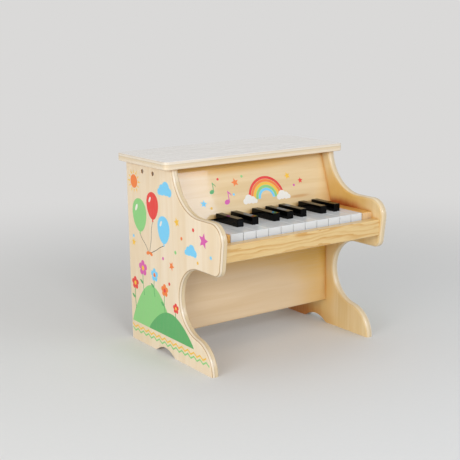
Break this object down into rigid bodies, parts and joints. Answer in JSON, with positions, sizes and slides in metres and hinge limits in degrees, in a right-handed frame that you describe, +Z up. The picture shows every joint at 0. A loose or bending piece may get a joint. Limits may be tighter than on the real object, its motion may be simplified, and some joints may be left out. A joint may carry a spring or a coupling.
{
  "type": "toy piano",
  "caption": "Wooden upright toy piano on shaped side panels, with hinged white and black keys whose hammers strike metal tone bars under the lid.",
  "frame": {"origin": "on the floor, in the middle of the overall width and depth", "axes": "+X to the player's right, +Y from the player to the back, +Z up"},
  "size_m": [0.334, 0.265, 0.3],
  "materials": {
    "birch_ply": "clear satin lacquer",
    "pine": "clear satin lacquer",
    "white_lacquer": "gloss white lacquer",
    "black_lacquer": "gloss black lacquer",
    "dark_screw": "browned",
    "bright_steel": "drawn",
    "aluminium_bar": "brushed",
    "moulded_plastic": "moulded",
    "felt": "pressed felt"
  },
  "bodies": {
    "case": {"left_side_panel": "birch_ply", "right_side_panel": "birch_ply", "top_board": "birch_ply", "front_panel": "birch_ply", "lower_panel": "birch_ply", "back_panel": "birch_ply", "key_bed": "birch_ply", "tone_bar_board": "birch_ply", "front_rail": "pine", "left_key_block": "pine", "right_key_block": "pine", "tone_bar_rails": "pine", "case_dowels": "pine", "side_screws": "dark_screw", "wood_screws": "bright_steel", "key_rod": "bright_steel", "hammer_rod": "bright_steel", "key_springs": "bright_steel", "tone_bar_nails": "bright_steel", "tone_bars": "aluminium_bar", "key_comb": "moulded_plastic", "hammer_comb": "moulded_plastic", "key_felts": "felt", "tone_bar_felts": "felt"},
    "key_01_b": {"key_01_b": "white_lacquer"},
    "key_02_c": {"key_02_c": "white_lacquer"},
    "key_03_c_sharp": {"key_03_c_sharp": "black_lacquer"},
    "key_04_d": {"key_04_d": "white_lacquer"},
    "key_05_d_sharp": {"key_05_d_sharp": "black_lacquer"},
    "key_06_e": {"key_06_e": "white_lacquer"},
    "key_07_f": {"key_07_f": "white_lacquer"},
    "key_08_f_sharp": {"key_08_f_sharp": "black_lacquer"},
    "key_09_g": {"key_09_g": "white_lacquer"},
    "key_10_g_sharp": {"key_10_g_sharp": "black_lacquer"},
    "key_11_a": {"key_11_a": "white_lacquer"},
    "key_12_a_sharp": {"key_12_a_sharp": "black_lacquer"},
    "key_13_b": {"key_13_b": "white_lacquer"},
    "key_14_c": {"key_14_c": "white_lacquer"},
    "key_15_c_sharp": {"key_15_c_sharp": "black_lacquer"},
    "key_16_d": {"key_16_d": "white_lacquer"},
    "key_17_d_sharp": {"key_17_d_sharp": "black_lacquer"},
    "key_18_e": {"key_18_e": "white_lacquer"},
    "hammer_01": {"hammer_01": "moulded_plastic"},
    "hammer_02": {"hammer_02": "moulded_plastic"},
    "hammer_03": {"hammer_03": "moulded_plastic"},
    "hammer_04": {"hammer_04": "moulded_plastic"},
    "hammer_05": {"hammer_05": "moulded_plastic"},
    "hammer_06": {"hammer_06": "moulded_plastic"},
    "hammer_07": {"hammer_07": "moulded_plastic"},
    "hammer_08": {"hammer_08": "moulded_plastic"},
    "hammer_09": {"hammer_09": "moulded_plastic"},
    "hammer_10": {"hammer_10": "moulded_plastic"},
    "hammer_11": {"hammer_11": "moulded_plastic"},
    "hammer_12": {"hammer_12": "moulded_plastic"},
    "hammer_13": {"hammer_13": "moulded_plastic"},
    "hammer_14": {"hammer_14": "moulded_plastic"},
    "hammer_15": {"hammer_15": "moulded_plastic"},
    "hammer_16": {"hammer_16": "moulded_plastic"},
    "hammer_17": {"hammer_17": "moulded_plastic"},
    "hammer_18": {"hammer_18": "moulded_plastic"}
  },
  "joints": [
    {"name": "key_01_b_press", "type": "hinge", "parent": "case", "child": "key_01_b", "pos_m": [-0.11109, 0.0115, 0.1992], "axis": [1, 0, 0], "range_deg": [0, 3.8], "stiffness_Nm_per_rad": 0.3, "springref_deg": -7.62, "deforming": ["key_springs"]},
    {"name": "key_02_c_press", "type": "hinge", "parent": "case", "child": "key_02_c", "pos_m": [-0.09332, 0.0115, 0.1992], "axis": [1, 0, 0], "range_deg": [0, 3.8], "stiffness_Nm_per_rad": 0.3, "springref_deg": -7.62, "deforming": ["key_springs"]},
    {"name": "key_03_c_sharp_press", "type": "hinge", "parent": "case", "child": "key_03_c_sharp", "pos_m": [-0.07999, 0.0115, 0.1992], "axis": [1, 0, 0], "range_deg": [0, 3.8], "stiffness_Nm_per_rad": 0.3, "springref_deg": -7.62, "deforming": ["key_springs"]},
    {"name": "key_04_d_press", "type": "hinge", "parent": "case", "child": "key_04_d", "pos_m": [-0.06666, 0.0115, 0.1992], "axis": [1, 0, 0], "range_deg": [0, 3.8], "stiffness_Nm_per_rad": 0.3, "springref_deg": -7.62, "deforming": ["key_springs"]},
    {"name": "key_05_d_sharp_press", "type": "hinge", "parent": "case", "child": "key_05_d_sharp", "pos_m": [-0.05332, 0.0115, 0.1992], "axis": [1, 0, 0], "range_deg": [0, 3.8], "stiffness_Nm_per_rad": 0.3, "springref_deg": -7.62, "deforming": ["key_springs"]},
    {"name": "key_06_e_press", "type": "hinge", "parent": "case", "child": "key_06_e", "pos_m": [-0.03999, 0.0115, 0.1992], "axis": [1, 0, 0], "range_deg": [0, 3.8], "stiffness_Nm_per_rad": 0.3, "springref_deg": -7.62, "deforming": ["key_springs"]},
    {"name": "key_07_f_press", "type": "hinge", "parent": "case", "child": "key_07_f", "pos_m": [-0.02698, 0.0115, 0.1992], "axis": [1, 0, 0], "range_deg": [0, 3.8], "stiffness_Nm_per_rad": 0.3, "springref_deg": -7.62, "deforming": ["key_springs"]},
    {"name": "key_08_f_sharp_press", "type": "hinge", "parent": "case", "child": "key_08_f_sharp", "pos_m": [-0.01428, 0.0115, 0.1992], "axis": [1, 0, 0], "range_deg": [0, 3.8], "stiffness_Nm_per_rad": 0.3, "springref_deg": -7.62, "deforming": ["key_springs"]},
    {"name": "key_09_g_press", "type": "hinge", "parent": "case", "child": "key_09_g", "pos_m": [-0.00159, 0.0115, 0.1992], "axis": [1, 0, 0], "range_deg": [0, 3.8], "stiffness_Nm_per_rad": 0.3, "springref_deg": -7.62, "deforming": ["key_springs"]},
    {"name": "key_10_g_sharp_press", "type": "hinge", "parent": "case", "child": "key_10_g_sharp", "pos_m": [0.01111, 0.0115, 0.1992], "axis": [1, 0, 0], "range_deg": [0, 3.8], "stiffness_Nm_per_rad": 0.3, "springref_deg": -7.62, "deforming": ["key_springs"]},
    {"name": "key_11_a_press", "type": "hinge", "parent": "case", "child": "key_11_a", "pos_m": [0.0238, 0.0115, 0.1992], "axis": [1, 0, 0], "range_deg": [0, 3.8], "stiffness_Nm_per_rad": 0.3, "springref_deg": -7.62, "deforming": ["key_springs"]},
    {"name": "key_12_a_sharp_press", "type": "hinge", "parent": "case", "child": "key_12_a_sharp", "pos_m": [0.0365, 0.0115, 0.1992], "axis": [1, 0, 0], "range_deg": [0, 3.8], "stiffness_Nm_per_rad": 0.3, "springref_deg": -7.62, "deforming": ["key_springs"]},
    {"name": "key_13_b_press", "type": "hinge", "parent": "case", "child": "key_13_b", "pos_m": [0.0492, 0.0115, 0.1992], "axis": [1, 0, 0], "range_deg": [0, 3.8], "stiffness_Nm_per_rad": 0.3, "springref_deg": -7.62, "deforming": ["key_springs"]},
    {"name": "key_14_c_press", "type": "hinge", "parent": "case", "child": "key_14_c", "pos_m": [0.06221, 0.0115, 0.1992], "axis": [1, 0, 0], "range_deg": [0, 3.8], "stiffness_Nm_per_rad": 0.3, "springref_deg": -7.62, "deforming": ["key_springs"]},
    {"name": "key_15_c_sharp_press", "type": "hinge", "parent": "case", "child": "key_15_c_sharp", "pos_m": [0.07554, 0.0115, 0.1992], "axis": [1, 0, 0], "range_deg": [0, 3.8], "stiffness_Nm_per_rad": 0.3, "springref_deg": -7.62, "deforming": ["key_springs"]},
    {"name": "key_16_d_press", "type": "hinge", "parent": "case", "child": "key_16_d", "pos_m": [0.08887, 0.0115, 0.1992], "axis": [1, 0, 0], "range_deg": [0, 3.8], "stiffness_Nm_per_rad": 0.3, "springref_deg": -7.62, "deforming": ["key_springs"]},
    {"name": "key_17_d_sharp_press", "type": "hinge", "parent": "case", "child": "key_17_d_sharp", "pos_m": [0.1022, 0.0115, 0.1992], "axis": [1, 0, 0], "range_deg": [0, 3.8], "stiffness_Nm_per_rad": 0.3, "springref_deg": -7.62, "deforming": ["key_springs"]},
    {"name": "key_18_e_press", "type": "hinge", "parent": "case", "child": "key_18_e", "pos_m": [0.11553, 0.0115, 0.1992], "axis": [1, 0, 0], "range_deg": [0, 3.8], "stiffness_Nm_per_rad": 0.3, "springref_deg": -7.62, "deforming": ["key_springs"]},
    {"name": "hammer_01_swing", "type": "hinge", "parent": "case", "child": "hammer_01", "pos_m": [-0.11109, 0.1055, 0.2082], "axis": [-1, 0, 0], "range_deg": [0, 16.2]},
    {"name": "hammer_02_swing", "type": "hinge", "parent": "case", "child": "hammer_02", "pos_m": [-0.09332, 0.1055, 0.2082], "axis": [-1, 0, 0], "range_deg": [0, 16.2]},
    {"name": "hammer_03_swing", "type": "hinge", "parent": "case", "child": "hammer_03", "pos_m": [-0.07999, 0.1055, 0.2082], "axis": [-1, 0, 0], "range_deg": [0, 16.2]},
    {"name": "hammer_04_swing", "type": "hinge", "parent": "case", "child": "hammer_04", "pos_m": [-0.06666, 0.1055, 0.2082], "axis": [-1, 0, 0], "range_deg": [0, 16.2]},
    {"name": "hammer_05_swing", "type": "hinge", "parent": "case", "child": "hammer_05", "pos_m": [-0.05332, 0.1055, 0.2082], "axis": [-1, 0, 0], "range_deg": [0, 16.2]},
    {"name": "hammer_06_swing", "type": "hinge", "parent": "case", "child": "hammer_06", "pos_m": [-0.03999, 0.1055, 0.2082], "axis": [-1, 0, 0], "range_deg": [0, 16.2]},
    {"name": "hammer_07_swing", "type": "hinge", "parent": "case", "child": "hammer_07", "pos_m": [-0.02698, 0.1055, 0.2082], "axis": [-1, 0, 0], "range_deg": [0, 16.2]},
    {"name": "hammer_08_swing", "type": "hinge", "parent": "case", "child": "hammer_08", "pos_m": [-0.01428, 0.1055, 0.2082], "axis": [-1, 0, 0], "range_deg": [0, 16.2]},
    {"name": "hammer_09_swing", "type": "hinge", "parent": "case", "child": "hammer_09", "pos_m": [-0.00159, 0.1055, 0.2082], "axis": [-1, 0, 0], "range_deg": [0, 16.2]},
    {"name": "hammer_10_swing", "type": "hinge", "parent": "case", "child": "hammer_10", "pos_m": [0.01111, 0.1055, 0.2082], "axis": [-1, 0, 0], "range_deg": [0, 16.2]},
    {"name": "hammer_11_swing", "type": "hinge", "parent": "case", "child": "hammer_11", "pos_m": [0.0238, 0.1055, 0.2082], "axis": [-1, 0, 0], "range_deg": [0, 16.2]},
    {"name": "hammer_12_swing", "type": "hinge", "parent": "case", "child": "hammer_12", "pos_m": [0.0365, 0.1055, 0.2082], "axis": [-1, 0, 0], "range_deg": [0, 16.2]},
    {"name": "hammer_13_swing", "type": "hinge", "parent": "case", "child": "hammer_13", "pos_m": [0.0492, 0.1055, 0.2082], "axis": [-1, 0, 0], "range_deg": [0, 16.2]},
    {"name": "hammer_14_swing", "type": "hinge", "parent": "case", "child": "hammer_14", "pos_m": [0.06221, 0.1055, 0.2082], "axis": [-1, 0, 0], "range_deg": [0, 16.2]},
    {"name": "hammer_15_swing", "type": "hinge", "parent": "case", "child": "hammer_15", "pos_m": [0.07554, 0.1055, 0.2082], "axis": [-1, 0, 0], "range_deg": [0, 16.2]},
    {"name": "hammer_16_swing", "type": "hinge", "parent": "case", "child": "hammer_16", "pos_m": [0.08887, 0.1055, 0.2082], "axis": [-1, 0, 0], "range_deg": [0, 16.2]},
    {"name": "hammer_17_swing", "type": "hinge", "parent": "case", "child": "hammer_17", "pos_m": [0.1022, 0.1055, 0.2082], "axis": [-1, 0, 0], "range_deg": [0, 16.2]},
    {"name": "hammer_18_swing", "type": "hinge", "parent": "case", "child": "hammer_18", "pos_m": [0.11553, 0.1055, 0.2082], "axis": [-1, 0, 0], "range_deg": [0, 16.2]}
  ],
  "couplings": [
    {"joint": "hammer_01_swing", "follows": "key_01_b_press", "ratio": 4.25},
    {"joint": "hammer_02_swing", "follows": "key_02_c_press", "ratio": 4.25},
    {"joint": "hammer_03_swing", "follows": "key_03_c_sharp_press", "ratio": 4.25},
    {"joint": "hammer_04_swing", "follows": "key_04_d_press", "ratio": 4.25},
    {"joint": "hammer_05_swing", "follows": "key_05_d_sharp_press", "ratio": 4.25},
    {"joint": "hammer_06_swing", "follows": "key_06_e_press", "ratio": 4.25},
    {"joint": "hammer_07_swing", "follows": "key_07_f_press", "ratio": 4.25},
    {"joint": "hammer_08_swing", "follows": "key_08_f_sharp_press", "ratio": 4.25},
    {"joint": "hammer_09_swing", "follows": "key_09_g_press", "ratio": 4.25},
    {"joint": "hammer_10_swing", "follows": "key_10_g_sharp_press", "ratio": 4.25},
    {"joint": "hammer_11_swing", "follows": "key_11_a_press", "ratio": 4.25},
    {"joint": "hammer_12_swing", "follows": "key_12_a_sharp_press", "ratio": 4.25},
    {"joint": "hammer_13_swing", "follows": "key_13_b_press", "ratio": 4.25},
    {"joint": "hammer_14_swing", "follows": "key_14_c_press", "ratio": 4.25},
    {"joint": "hammer_15_swing", "follows": "key_15_c_sharp_press", "ratio": 4.25},
    {"joint": "hammer_16_swing", "follows": "key_16_d_press", "ratio": 4.25},
    {"joint": "hammer_17_swing", "follows": "key_17_d_sharp_press", "ratio": 4.25},
    {"joint": "hammer_18_swing", "follows": "key_18_e_press", "ratio": 4.25}
  ]
}
